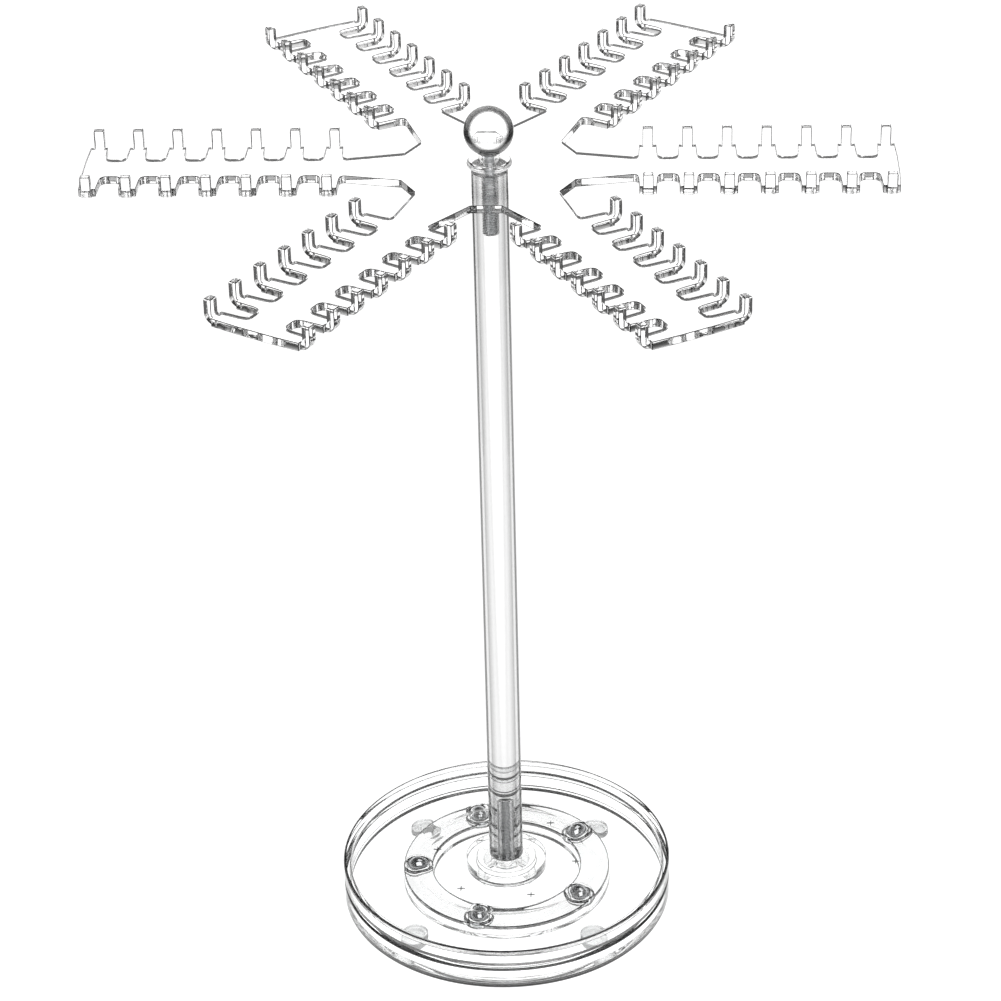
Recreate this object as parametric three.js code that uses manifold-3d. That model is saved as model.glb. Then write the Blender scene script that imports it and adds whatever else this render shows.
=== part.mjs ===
// Necklace display tree in clear acrylic: a six-armed hook star on a pole, over a ball-bearing base.
// Millimetres, +Z up, origin on the table under the middle of the base.
import * as THREE from "three";
import { mergeVertices } from "three/addons/utils/BufferGeometryUtils.js";
import Module from "manifold-3d";

const wasm = await Module();
wasm.setup();

// Clearances
const FIT_GAP = 0.3; // between a fastener and the hole that holds it
const JOURNAL_GAP = 0.4; // radial, between the turntable's boss and the base's spigot
const PIVOT_GAP = 0.3; // axial, where the turning pieces pass the spigot's top
const BALL_GAP = 0.15; // between a ball and each race
const POCKET_GAP = 0.3; // between a ball and its pocket in the cage

// Feet
const FOOT_COUNT = 4;
const FOOT_DIAMETER = 10.5;
const FOOT_HEIGHT = 3.2;
const FOOT_CIRCLE_RADIUS = 52;
const FOOT_FIRST_ANGLE = 45;
const FOOT_EDGE = 0.4;

// Base dish and turntable top
const DRUM_RADIUS = 68.5;
const DRUM_EDGE = 0.8; // chamfer on the outer edges
const BASE_FLOOR = 3;
const BASE_WALL = 2.5;
const BASE_WALL_HEIGHT = 5.2; // above the floor
const BASE_SKIRT = 2; // the wall's drop below the floor, round the feet
const BASE_HEEL_RADIUS = 2; // round at the lower outer edge
const RIM_GAP = 1.7; // open slit between the two rims
const TOP_PLATE = 3;
const TOP_WALL = 2.9;

// Ball race and its cage
const BALL_COUNT = 5;
const BALL_DIAMETER = 8;
const BALL_CIRCLE_RADIUS = 37.3;
const BALL_FIRST_ANGLE = 38;
const RACE_WIDTH = 11.4;
const RACE_HEIGHT = 1.75;
const GROOVE_DEPTH = 0.5;
const GROOVE_RADIUS = 5;
const CAGE_THICKNESS = 1.6;
const POCKET_HEIGHT = 3.4;
const POCKET_WALL = 1.6;

// Pivot: spigot and boss, with the screw, bush and washer that hold them together
const SPIGOT_RADIUS = 12.2;
const SPIGOT_WALL = 2.5;
const SPIGOT_TOP = 3;
const BOSS_WALL = 4;
const BOSS_HEIGHT = 5;
const SCREW_DIAMETER = 4;
const SCREW_IN_POLE = 28.5;
const SCREW_IN_BUSH = 1.8;
const BUSH_WALL = 1.8;
const BUSH_TAIL = 1; // below the washer
const WASHER_WALL = 2.2;
const WASHER_THICKNESS = 1;

// Pole and finial
const POLE_DIAMETER = 14;
const POLE_LENGTH = 314.5;
const POLE_EDGE = 0.4;
const STUD_DIAMETER = 4;
const STUD_IN_POLE = 24;
const STUD_IN_KNOB = 9;
const THREAD_EDGE = 0.5; // chamfer on the ends of the stud and the pivot screw
const HOLE_SPARE_DEPTH = 0.5; // past the end of a stud or screw
const KNOB_DIAMETER = 19;
const KNOB_CENTRE_HEIGHT = 14.3; // above the star plate
const KNOB_NECK_DIAMETER = 8;
const COLLAR_DIAMETER = 17.2;
const COLLAR_HEIGHT = 2.8;

// Hook star
const ARM_COUNT = 6;
const PLATE_THICKNESS = 3.2;
const HUB_FLAT_RADIUS = 34.2; // from the axis to the flat edge between two arms
const HUB_FLAT_LENGTH = 11.7;
const SPINE_WIDTH = 14.8;
const HOOKS_PER_SIDE = 7;
const HOOK_PITCH = 15;
const FIRST_HOOK_RADIUS = 59.5;
const TAB_ROOT_WIDTH = 7.4;
const TAB_TIP_WIDTH = 6.5;
const TAB_REACH = 18.5; // from the middle of the arm to the tab's shoulders
const NOTCH_CORNER = 1.7;
const PEG_WIDTH = 3.9;
const PEG_THICKNESS = 3.2;
const PEG_HEIGHT = 6.4; // above the plate
const BEND_RADIUS = 0.6; // inside the bend, where the peg turns up from the tab
const PEG_TOP_EDGE = 0.9;
const PEG_EMBED = 1; // how far the peg's strip runs back into the tab

// Facets
const DRUM_SEGMENTS = 40;
const ROD_SEGMENTS = 24;
const SMALL_SEGMENTS = 16;
const BALL_SEGMENTS = 12;
const BALL_RINGS = 8;
const KNOB_STEPS = 9;
const BEND_STEPS = 2;
const GROOVE_STEPS = 3;

// Heights above the table
const FLOOR_UNDER_Z = FOOT_HEIGHT;
const BASE_BOTTOM_Z = FLOOR_UNDER_Z - BASE_SKIRT;
const FLOOR_Z = FLOOR_UNDER_Z + BASE_FLOOR;
const BASE_RIM_Z = FLOOR_Z + BASE_WALL_HEIGHT;
const RACE_SPACING = RACE_HEIGHT - GROOVE_DEPTH + BALL_GAP;
const BALL_Z = FLOOR_Z + RACE_SPACING + BALL_DIAMETER / 2;
const UNDERSIDE_Z = BALL_Z + BALL_DIAMETER / 2 + RACE_SPACING;
const TURNTABLE_Z = UNDERSIDE_Z + TOP_PLATE;
const SPIGOT_Z = UNDERSIDE_Z - PIVOT_GAP;
const SPIGOT_UNDER_Z = SPIGOT_Z - SPIGOT_TOP;
const WASHER_TOP_Z = SPIGOT_UNDER_Z - PIVOT_GAP;
const WASHER_BOTTOM_Z = WASHER_TOP_Z - WASHER_THICKNESS;
const BUSH_BOTTOM_Z = WASHER_BOTTOM_Z - BUSH_TAIL;
const PLATE_BOTTOM_Z = TURNTABLE_Z + POLE_LENGTH;
const PLATE_TOP_Z = PLATE_BOTTOM_Z + PLATE_THICKNESS;

// Radii that follow from the fits
const SCREW_HOLE_RADIUS = SCREW_DIAMETER / 2 + FIT_GAP;
const STUD_HOLE_RADIUS = STUD_DIAMETER / 2 + FIT_GAP;
const BUSH_RADIUS = SCREW_HOLE_RADIUS + BUSH_WALL;
const BUSH_HOLE_RADIUS = BUSH_RADIUS + FIT_GAP;
const RACE_INNER_RADIUS = BALL_CIRCLE_RADIUS - RACE_WIDTH / 2;
const RACE_OUTER_RADIUS = BALL_CIRCLE_RADIUS + RACE_WIDTH / 2;

// Materials
const clearAcrylic = new THREE.MeshStandardMaterial({
  color: 0xf2f7fa,
  roughness: 0.04,
  metalness: 0,
  transparent: true,
  opacity: 0.3,
});
const chromeSteel = new THREE.MeshStandardMaterial({ color: 0xd2d5d8, roughness: 0.08, metalness: 1 });
const zincSteel = new THREE.MeshStandardMaterial({ color: 0xb4b7ba, roughness: 0.3, metalness: 1 });
const greyRubber = new THREE.MeshStandardMaterial({ color: 0xb5b8bb, roughness: 0.6, metalness: 0 });

// Keeps only positions, joins the shared vertices and drops triangles that have no area
function closeMesh(geometry) {
  geometry.deleteAttribute("normal");
  geometry.deleteAttribute("uv");
  const merged = mergeVertices(geometry);
  const index = merged.index.array;
  const kept = [];
  for (let i = 0; i < index.length; i += 3) {
    const [a, b, c] = index.subarray(i, i + 3);
    if (a !== b && b !== c && c !== a) kept.push(a, b, c);
  }
  merged.setIndex(kept);
  return merged;
}

function toSolid(geometry) {
  const closed = closeMesh(geometry);
  const vertProperties = new Float32Array(closed.attributes.position.array);
  const triVerts = new Uint32Array(closed.index.array);
  return new wasm.Manifold(new wasm.Mesh({ numProp: 3, vertProperties, triVerts }));
}

function toGeometry(solid) {
  const { vertProperties, triVerts } = solid.getMesh();
  const geometry = new THREE.BufferGeometry();
  geometry.setAttribute("position", new THREE.BufferAttribute(vertProperties, 3));
  geometry.setIndex(new THREE.BufferAttribute(triVerts, 1));
  geometry.computeVertexNormals();
  return geometry;
}

// Turns a profile of [radius, height] points, listed anticlockwise, about the Z axis
function turned(profile, segments) {
  const points = profile.map(([radius, height]) => new THREE.Vector2(radius, height));
  return closeMesh(new THREE.LatheGeometry(points, segments).rotateX(Math.PI / 2));
}

// A ring's profile doesn't meet the axis, so it closes on its own first point
function turnedRing(profile, segments) {
  return turned([...profile, profile[0]], segments);
}

function disc(radius, height, segments) {
  return new THREE.CylinderGeometry(radius, radius, height, segments).rotateX(Math.PI / 2);
}

// Points of an arc in a profile, both ends included, angles in degrees
function arc(centreX, centreY, radius, from, to, steps) {
  return Array.from({ length: steps + 1 }, (_, i) => {
    const angle = THREE.MathUtils.degToRad(from + ((to - from) * i) / steps);
    return [centreX + radius * Math.cos(angle), centreY + radius * Math.sin(angle)];
  });
}

// Places round the axis: one position for each copy, evenly spaced
function ringOfPlaces(count, radius, firstAngle) {
  return Array.from({ length: count }, (_, i) => {
    const angle = THREE.MathUtils.degToRad(firstAngle + (360 * i) / count);
    return new THREE.Vector3(radius * Math.cos(angle), radius * Math.sin(angle), 0);
  });
}

function part(name, geometry, material, z = 0) {
  const mesh = new THREE.Mesh(geometry, material);
  mesh.name = name;
  mesh.position.z = z;
  return mesh;
}

// The ball groove's profile, with the ball above the lip on side 1 and below it on side -1
function groove(lipZ, side) {
  const halfAngle = THREE.MathUtils.radToDeg(Math.acos(1 - GROOVE_DEPTH / GROOVE_RADIUS));
  const centreZ = lipZ + side * (GROOVE_RADIUS - GROOVE_DEPTH);
  const middle = -90 * side;
  return arc(
    BALL_CIRCLE_RADIUS, centreZ, GROOVE_RADIUS,
    middle + halfAngle, middle - halfAngle, GROOVE_STEPS,
  );
}

// Base dish: floor, low wall with a skirt, raised race and the hollow spigot that the turntable turns on
function baseDish() {
  const innerWall = DRUM_RADIUS - BASE_WALL;
  const recess = SPIGOT_RADIUS - SPIGOT_WALL;
  const raceZ = FLOOR_Z + RACE_HEIGHT;
  const heel = arc(
    DRUM_RADIUS - BASE_HEEL_RADIUS, BASE_BOTTOM_Z + BASE_HEEL_RADIUS, BASE_HEEL_RADIUS, -90, 0, BEND_STEPS,
  );
  return turnedRing([
    [recess, FLOOR_UNDER_Z],
    [innerWall, FLOOR_UNDER_Z],
    [innerWall, BASE_BOTTOM_Z],
    ...heel,
    [DRUM_RADIUS, BASE_RIM_Z - DRUM_EDGE],
    [DRUM_RADIUS - DRUM_EDGE, BASE_RIM_Z],
    [innerWall, BASE_RIM_Z],
    [innerWall, FLOOR_Z],
    [RACE_OUTER_RADIUS, FLOOR_Z],
    [RACE_OUTER_RADIUS, raceZ],
    ...groove(raceZ, 1),
    [RACE_INNER_RADIUS, raceZ],
    [RACE_INNER_RADIUS, FLOOR_Z],
    [SPIGOT_RADIUS, FLOOR_Z],
    [SPIGOT_RADIUS, SPIGOT_Z],
    [BUSH_HOLE_RADIUS, SPIGOT_Z],
    [BUSH_HOLE_RADIUS, SPIGOT_UNDER_Z],
    [recess, SPIGOT_UNDER_Z],
  ], DRUM_SEGMENTS);
}

// Turntable top: a shallow cap with a skirt, a hanging race and the boss that fits over the spigot
function turntableTop() {
  const innerWall = DRUM_RADIUS - TOP_WALL;
  const skirtZ = BASE_RIM_Z + RIM_GAP;
  const bossInner = SPIGOT_RADIUS + JOURNAL_GAP;
  const bossOuter = bossInner + BOSS_WALL;
  const bossZ = UNDERSIDE_Z - BOSS_HEIGHT;
  const raceZ = UNDERSIDE_Z - RACE_HEIGHT;
  return turnedRing([
    [SCREW_HOLE_RADIUS, TURNTABLE_Z],
    [SCREW_HOLE_RADIUS, UNDERSIDE_Z],
    [bossInner, UNDERSIDE_Z],
    [bossInner, bossZ],
    [bossOuter, bossZ],
    [bossOuter, UNDERSIDE_Z],
    [RACE_INNER_RADIUS, UNDERSIDE_Z],
    [RACE_INNER_RADIUS, raceZ],
    ...groove(raceZ, -1),
    [RACE_OUTER_RADIUS, raceZ],
    [RACE_OUTER_RADIUS, UNDERSIDE_Z],
    [innerWall, UNDERSIDE_Z],
    [innerWall, skirtZ],
    [DRUM_RADIUS, skirtZ],
    [DRUM_RADIUS, TURNTABLE_Z - DRUM_EDGE],
    [DRUM_RADIUS - DRUM_EDGE, TURNTABLE_Z],
  ], DRUM_SEGMENTS);
}

// Ball cage: a flat ring with a short open tube for each ball, centred on the balls' height
function ballCage() {
  const places = ringOfPlaces(BALL_COUNT, BALL_CIRCLE_RADIUS, BALL_FIRST_ANGLE);
  const boreRadius = BALL_DIAMETER / 2 + POCKET_GAP;
  const tubeRadius = boreRadius + POCKET_WALL;
  const boreHeight = 2 * POCKET_HEIGHT;
  const half = CAGE_THICKNESS / 2;
  const ring = toSolid(turnedRing([
    [RACE_INNER_RADIUS, -half],
    [RACE_OUTER_RADIUS, -half],
    [RACE_OUTER_RADIUS, half],
    [RACE_INNER_RADIUS, half],
  ], DRUM_SEGMENTS));
  const withTubes = places.reduce((solid, { x, y }) => {
    return solid.add(toSolid(disc(tubeRadius, POCKET_HEIGHT, SMALL_SEGMENTS).translate(x, y, 0)));
  }, ring);
  const bored = places.reduce((solid, { x, y }) => {
    return solid.subtract(toSolid(disc(boreRadius, boreHeight, SMALL_SEGMENTS).translate(x, y, 0)));
  }, withTubes);
  return toGeometry(bored);
}

function bearingBall() {
  const sphere = new THREE.SphereGeometry(BALL_DIAMETER / 2, BALL_SEGMENTS, BALL_RINGS);
  return closeMesh(sphere.rotateX(Math.PI / 2));
}

function foot() {
  const radius = FOOT_DIAMETER / 2;
  return turned([
    [0, 0],
    [radius - FOOT_EDGE, 0],
    [radius, FOOT_EDGE],
    [radius, FOOT_HEIGHT],
    [0, FOOT_HEIGHT],
  ], SMALL_SEGMENTS);
}

// A headless threaded rod, chamfered at both ends
function threadedRod(diameter, bottomZ, topZ) {
  const radius = diameter / 2;
  return turned([
    [0, bottomZ],
    [radius - THREAD_EDGE, bottomZ],
    [radius, bottomZ + THREAD_EDGE],
    [radius, topZ - THREAD_EDGE],
    [radius - THREAD_EDGE, topZ],
    [0, topZ],
  ], SMALL_SEGMENTS);
}

// A plain ring about the axis, from one height to another
function plainRing(innerRadius, outerRadius, bottomZ, topZ) {
  return turnedRing([
    [innerRadius, bottomZ],
    [outerRadius, bottomZ],
    [outerRadius, topZ],
    [innerRadius, topZ],
  ], ROD_SEGMENTS);
}

// Pivot screw: joins the pole to the bush through the turntable's plate
function pivotScrew() {
  return threadedRod(SCREW_DIAMETER, UNDERSIDE_Z - SCREW_IN_BUSH, TURNTABLE_Z + SCREW_IN_POLE);
}

// Pivot bush: the pin under the plate that turns in the spigot
function pivotBush() {
  return plainRing(SCREW_HOLE_RADIUS, BUSH_RADIUS, BUSH_BOTTOM_Z, UNDERSIDE_Z);
}

// Pivot washer: pushed on the bush below the spigot, so that the tree can't lift off
function pivotWasher() {
  return plainRing(BUSH_HOLE_RADIUS, BUSH_HOLE_RADIUS + WASHER_WALL, WASHER_BOTTOM_Z, WASHER_TOP_Z);
}

// Pole: a solid rod with a blind hole at each end for the screw below and the stud above
function pole() {
  const radius = POLE_DIAMETER / 2;
  const screwEnd = SCREW_IN_POLE + HOLE_SPARE_DEPTH;
  const studEnd = POLE_LENGTH - STUD_IN_POLE - HOLE_SPARE_DEPTH;
  return turned([
    [0, screwEnd],
    [SCREW_HOLE_RADIUS, screwEnd],
    [SCREW_HOLE_RADIUS, 0],
    [radius - POLE_EDGE, 0],
    [radius, POLE_EDGE],
    [radius, POLE_LENGTH - POLE_EDGE],
    [radius - POLE_EDGE, POLE_LENGTH],
    [STUD_HOLE_RADIUS, POLE_LENGTH],
    [STUD_HOLE_RADIUS, studEnd],
    [0, studEnd],
  ], ROD_SEGMENTS);
}

// Finial stud: runs down from the knob through the star into the pole
function finialStud() {
  return threadedRod(STUD_DIAMETER, PLATE_BOTTOM_Z - STUD_IN_POLE, PLATE_TOP_Z + STUD_IN_KNOB);
}

// Finial knob: rounded collar, short neck and ball, bored from below for the stud
function finialKnob() {
  const ballRadius = KNOB_DIAMETER / 2;
  const neck = KNOB_NECK_DIAMETER / 2;
  const collarRound = COLLAR_HEIGHT / 2;
  const boreEnd = STUD_IN_KNOB + HOLE_SPARE_DEPTH;
  const neckAngle = THREE.MathUtils.radToDeg(Math.acos(neck / ballRadius));
  return turned([
    [0, boreEnd],
    [STUD_HOLE_RADIUS, boreEnd],
    [STUD_HOLE_RADIUS, 0],
    ...arc(COLLAR_DIAMETER / 2 - collarRound, collarRound, collarRound, -90, 90, 2 * BEND_STEPS),
    [neck, COLLAR_HEIGHT],
    ...arc(0, KNOB_CENTRE_HEIGHT, ballRadius, -neckAngle, 90, KNOB_STEPS).slice(0, -1),
    [0, KNOB_CENTRE_HEIGHT + ballRadius],
  ], ROD_SEGMENTS);
}

// Distances along an arm to the middle of each pair of hooks
const HOOK_RADII = Array.from({ length: HOOKS_PER_SIDE }, (_, i) => FIRST_HOOK_RADIUS + i * HOOK_PITCH);

// One side of an arm from the hub to the tip: [along, across] points, with round to mark a rounded corner
function armSide() {
  const spine = SPINE_WIDTH / 2;
  const root = TAB_ROOT_WIDTH / 2;
  const tip = TAB_TIP_WIDTH / 2;
  const halfStep = Math.PI / ARM_COUNT;
  const flat = HUB_FLAT_LENGTH / 2;
  const neck = {
    along: HUB_FLAT_RADIUS * Math.cos(halfStep) + flat * Math.sin(halfStep),
    across: HUB_FLAT_RADIUS * Math.sin(halfStep) - flat * Math.cos(halfStep),
  };
  const tabs = HOOK_RADII.flatMap((middle) => [
    { along: middle - root, across: spine, round: true },
    { along: middle - tip, across: TAB_REACH },
    { along: middle + tip, across: TAB_REACH },
    { along: middle + root, across: spine, round: true },
  ]);
  tabs.at(-1).round = false; // the arm's end runs straight across here
  return [neck, ...tabs];
}

// The star's outline: each arm goes out along its right side and comes back along its left
function starOutline() {
  const side = armSide();
  const right = side.map((point) => ({ ...point, across: -point.across }));
  const arm = [...right, ...side.toReversed()];
  const corners = Array.from({ length: ARM_COUNT }, (_, i) => {
    const angle = (2 * Math.PI * i) / ARM_COUNT;
    return arm.map(({ along, across, round }) => {
      return { at: new THREE.Vector2(along, across).rotateAround(new THREE.Vector2(), angle), round };
    });
  }).flat();
  const outline = new THREE.Shape();
  corners.forEach(({ at, round }, i) => {
    const before = corners.at(i - 1).at;
    const after = corners[(i + 1) % corners.length].at;
    const towards = (other) => other.clone().sub(at).setLength(NOTCH_CORNER).add(at);
    const start = round ? towards(before) : at;
    if (i === 0) outline.moveTo(start.x, start.y);
    else outline.lineTo(start.x, start.y);
    if (round) {
      const end = towards(after);
      outline.quadraticCurveTo(at.x, at.y, end.x, end.y);
    }
  });
  const studHole = arc(0, 0, STUD_HOLE_RADIUS, 360, 0, SMALL_SEGMENTS).slice(1);
  outline.holes.push(new THREE.Path(studHole.map(([x, y]) => new THREE.Vector2(x, y))));
  return outline;
}

// A peg in its own frame: X outwards across the arm, Z up from the plate's underside
function peg() {
  const inner = TAB_REACH + BEND_RADIUS;
  const outer = inner + PEG_THICKNESS;
  const heel = BEND_RADIUS + PLATE_THICKNESS;
  const top = PLATE_THICKNESS + PEG_HEIGHT;
  const foot = TAB_REACH - PEG_EMBED;
  const profile = [
    [foot, 0],
    ...arc(outer - heel, heel, heel, -90, 0, BEND_STEPS),
    ...arc(outer - PEG_TOP_EDGE, top - PEG_TOP_EDGE, PEG_TOP_EDGE, 0, 90, 1),
    ...arc(inner + PEG_TOP_EDGE, top - PEG_TOP_EDGE, PEG_TOP_EDGE, 90, 180, 1),
    ...arc(TAB_REACH, PLATE_THICKNESS + BEND_RADIUS, BEND_RADIUS, 0, -90, 1),
    [foot, PLATE_THICKNESS],
  ].map(([x, y]) => new THREE.Vector2(x, y));
  const strip = new THREE.ExtrudeGeometry(new THREE.Shape(profile), { depth: PEG_WIDTH, bevelEnabled: false });
  return strip.translate(0, 0, -PEG_WIDTH / 2).rotateX(Math.PI / 2);
}

// Hook star: one flat moulding whose tabs carry upturned pegs
function hookStar() {
  const plate = new THREE.ExtrudeGeometry(starOutline(), {
    depth: PLATE_THICKNESS,
    bevelEnabled: false,
    curveSegments: BEND_STEPS,
  });
  let star = toSolid(plate);
  for (let arm = 0; arm < ARM_COUNT; arm += 1) {
    const armAngle = (2 * Math.PI * arm) / ARM_COUNT;
    for (const along of HOOK_RADII) {
      for (const side of [1, -1]) {
        const placed = peg()
          .rotateZ((side * Math.PI) / 2)
          .translate(along, 0, 0)
          .rotateZ(armAngle);
        star = star.add(toSolid(placed));
      }
    }
  }
  return toGeometry(star);
}

// Assembly
const fixedBase = new THREE.Group();
fixedBase.add(part("base_dish", baseDish(), clearAcrylic));
ringOfPlaces(FOOT_COUNT, FOOT_CIRCLE_RADIUS, FOOT_FIRST_ANGLE).forEach((place, i) => {
  const pad = part(`foot_${i + 1}`, foot(), greyRubber);
  pad.position.copy(place);
  fixedBase.add(pad);
});

const bearing = new THREE.Group();
bearing.position.z = BALL_Z;
bearing.add(part("ball_cage", ballCage(), clearAcrylic));
ringOfPlaces(BALL_COUNT, BALL_CIRCLE_RADIUS, BALL_FIRST_ANGLE).forEach((place, i) => {
  const ball = part(`bearing_ball_${i + 1}`, bearingBall(), chromeSteel);
  ball.position.copy(place);
  bearing.add(ball);
});

const turningTree = new THREE.Group();
turningTree.add(
  part("turntable_top", turntableTop(), clearAcrylic),
  part("pivot_screw", pivotScrew(), zincSteel),
  part("pivot_bush", pivotBush(), clearAcrylic),
  part("pivot_washer", pivotWasher(), clearAcrylic),
  part("pole", pole(), clearAcrylic, TURNTABLE_Z),
  part("hook_star", hookStar(), clearAcrylic, PLATE_BOTTOM_Z),
  part("finial_stud", finialStud(), zincSteel),
  part("finial_knob", finialKnob(), clearAcrylic, PLATE_TOP_Z),
);

const necklaceTree = new THREE.Group();
necklaceTree.name = "necklace_tree";
necklaceTree.add(fixedBase, bearing, turningTree);

export default necklaceTree;
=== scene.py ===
# Necklace display tree: clear acrylic, steel and silicone pieces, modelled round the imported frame
import math

import bmesh
import bpy
from mathutils import Matrix, Vector


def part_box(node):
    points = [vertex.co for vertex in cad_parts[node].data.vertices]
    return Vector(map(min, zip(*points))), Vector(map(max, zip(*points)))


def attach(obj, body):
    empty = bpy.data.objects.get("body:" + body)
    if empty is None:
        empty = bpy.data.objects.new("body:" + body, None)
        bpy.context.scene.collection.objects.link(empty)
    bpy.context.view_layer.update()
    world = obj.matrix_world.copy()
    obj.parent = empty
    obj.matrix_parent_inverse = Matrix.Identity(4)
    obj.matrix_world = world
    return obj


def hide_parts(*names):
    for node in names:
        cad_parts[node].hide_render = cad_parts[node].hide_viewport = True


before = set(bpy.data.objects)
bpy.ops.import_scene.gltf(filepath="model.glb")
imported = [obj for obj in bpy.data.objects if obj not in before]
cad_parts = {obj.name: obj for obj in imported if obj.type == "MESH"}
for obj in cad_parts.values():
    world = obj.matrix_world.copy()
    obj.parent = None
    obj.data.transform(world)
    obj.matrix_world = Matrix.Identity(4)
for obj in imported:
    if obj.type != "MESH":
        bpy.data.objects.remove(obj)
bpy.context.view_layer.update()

MM = 0.001

# Places and sizes that the frame gives
DRUM_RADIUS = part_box("base_dish")[1].x
BASE_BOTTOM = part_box("base_dish")[0].z
SPIGOT_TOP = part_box("base_dish")[1].z
FOOT_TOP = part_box("foot_1")[1].z
BOSS_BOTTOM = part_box("turntable_top")[0].z
TURNTABLE_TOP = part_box("turntable_top")[1].z
RACE_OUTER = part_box("ball_cage")[1].x
BUSH_LOW, BUSH_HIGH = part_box("pivot_bush")
WASHER_LOW, WASHER_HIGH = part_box("pivot_washer")
SCREW_LOW, SCREW_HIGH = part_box("pivot_screw")
STUD_LOW, STUD_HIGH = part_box("finial_stud")
POLE_LOW, POLE_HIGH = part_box("pole")
STAR_LOW, STAR_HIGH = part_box("hook_star")
KNOB_LOW, KNOB_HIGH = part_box("finial_knob")

# Base dish and turntable top
BASE_FLOOR = 3 * MM
BASE_WALL = 2.5 * MM
BASE_WALL_HEIGHT = 5.2 * MM
HEEL_RADIUS = 2 * MM
DRUM_EDGE = 0.8 * MM
RIM_LINE = 0.3 * MM
RIM_GAP = 1.7 * MM
TOP_PLATE = 3 * MM
TOP_WALL = 2.9 * MM
RACE_HEIGHT = 1.75 * MM
RACE_DRAFT = 3.5 * MM
GROOVE_DEPTH = 0.5 * MM
GROOVE_RADIUS = 5 * MM
SPIGOT_RADIUS = 12.2 * MM
SPIGOT_WALL = 2.5 * MM
SPIGOT_TOP_THICKNESS = 3 * MM
JOURNAL_GAP = 0.4 * MM
BOSS_WALL = 4 * MM
BOSS_LINE = 0.5 * MM
FIT_GAP = 0.3 * MM
FLOOR_TOP = FOOT_TOP + BASE_FLOOR
BASE_RIM = FLOOR_TOP + BASE_WALL_HEIGHT
SKIRT_BOTTOM = BASE_RIM + RIM_GAP
UNDERSIDE = TURNTABLE_TOP - TOP_PLATE

# Bearing
BALL_COUNT = 5
CAGE_THICKNESS = 1.6 * MM
POCKET_HEIGHT = 3.4 * MM
POCKET_GAP = 0.3 * MM
POCKET_WALL = 1.6 * MM
BALLS = [f"bearing_ball_{i + 1}" for i in range(BALL_COUNT)]
BALL_MIDDLES = [sum(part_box(ball), Vector()) / 2 for ball in BALLS]
BALL_RADIUS = (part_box(BALLS[0])[1].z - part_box(BALLS[0])[0].z) / 2
BALL_CIRCLE = BALL_MIDDLES[0].xy.length
RACE_INNER = 2 * BALL_CIRCLE - RACE_OUTER
CAGE_MIDDLE = BALL_MIDDLES[0].z

# Feet
FOOT_COUNT = 4
FOOT_EDGE = 0.6 * MM
FOOT_DISH = 0.4 * MM
FOOT_LIP_ANGLE = -150
FEET = [f"foot_{i + 1}" for i in range(FOOT_COUNT)]

# Threads, whose shape is in shares of the depth below the crest and of the pitch
THREAD_PITCH = 0.7 * MM
THREAD_DEPTH = 0.38 * MM
THREAD_SHAPE = ((1, 0), (1, 0.1), (0, 0.45), (0, 0.6), (1, 0.95), (1, 1))
SPARE_TURNS = 2
TAP_OVERRUN = 2 * THREAD_PITCH
LEAD_LENGTH = 0.5 * MM
LEAD_STEPS = 4
LEAD_WIDTH = 0.78
THREAD_CLEARANCE = 0.12 * MM
THREAD_SHIFT = 0.02
HOLE_SPARE_DEPTH = 0.5 * MM

# Pole and finial
POLE_RADIUS = POLE_HIGH.x
POLE_EDGE = 0.4 * MM
KNOB_RADIUS = 9.5 * MM
KNOB_NECK_RADIUS = 4 * MM
COLLAR_RADIUS = 8.6 * MM
COLLAR_HEIGHT = 2.8 * MM

# Hook star
ARM_COUNT = 6
PLATE_THICKNESS = KNOB_LOW.z - STAR_LOW.z
HUB_FLAT_RADIUS = 34.2 * MM
HUB_FLAT_LENGTH = 11.7 * MM
SPINE_WIDTH = 14.8 * MM
HOOKS_PER_SIDE = 7
HOOK_PITCH = 15 * MM
FIRST_HOOK = 59.5 * MM
TAB_ROOT_WIDTH = 7.4 * MM
TAB_TIP_WIDTH = 6.5 * MM
TAB_REACH = 18.5 * MM
NOTCH_CORNER = 2.8 * MM
PEG_WIDTH = 3.9 * MM
PEG_HEIGHT = STAR_HIGH.z - STAR_LOW.z - PLATE_THICKNESS
BEND_RADIUS = 0.6 * MM
PEG_TOP_EDGE = 0.7 * MM
PEG_TOP_SEGMENTS = 3
NECK_SPREAD = 0.1
HOOKS = [FIRST_HOOK + i * HOOK_PITCH for i in range(HOOKS_PER_SIDE)]

# Moulded crosses under the turntable
CROSS_COUNT = 6
CROSS_CIRCLE = 29.5 * MM
CROSS_FIRST_ANGLE = 52
CROSS_LENGTH = 3.2 * MM
CROSS_WIDTH = 0.35 * MM
CROSS_HEIGHT = 0.3 * MM
CROSS_GAP = 0.02 * MM
CROSS_EDGE_ROUND = CROSS_WIDTH / 6

# Fineness of the meshes
TURN_STEPS = 192
ROD_STEPS = 96
POCKET_STEPS = 64
THREAD_STEPS = 24
ARC_STEPS = 6
BALL_STEPS = 48
BALL_LEVELS = 5
EDGE_ROUND = 0.2 * MM
FINE_EDGE_ROUND = 0.14 * MM
STAR_EDGE_ROUND = 0.25 * MM
CAGE_EDGE_ROUND = 0.3 * MM
EDGE_SEGMENTS = 2
EDGE_ANGLE = math.radians(35)
SMOOTH_ANGLE = math.radians(30)
MERGE = 0.002 * MM
TINY = 0.01 * MM
CUT_SNAP = 0.0001 * MM

# Air between clear pieces that rest on each other
AIR_FILM = 0.02 * MM

# How far a face looks up, from -1 to 1, where faces are chosen by that, some for painted dark shade
UPRIGHT = 0.5
RIM_ROUND = 0.1
RIM_TOP = 0.7
HEEL_LOW = -0.75
HEEL_HIGH = -0.05
PEG_SLOPE_LOW = 0.5
PEG_SLOPE_HIGH = 0.8
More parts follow.
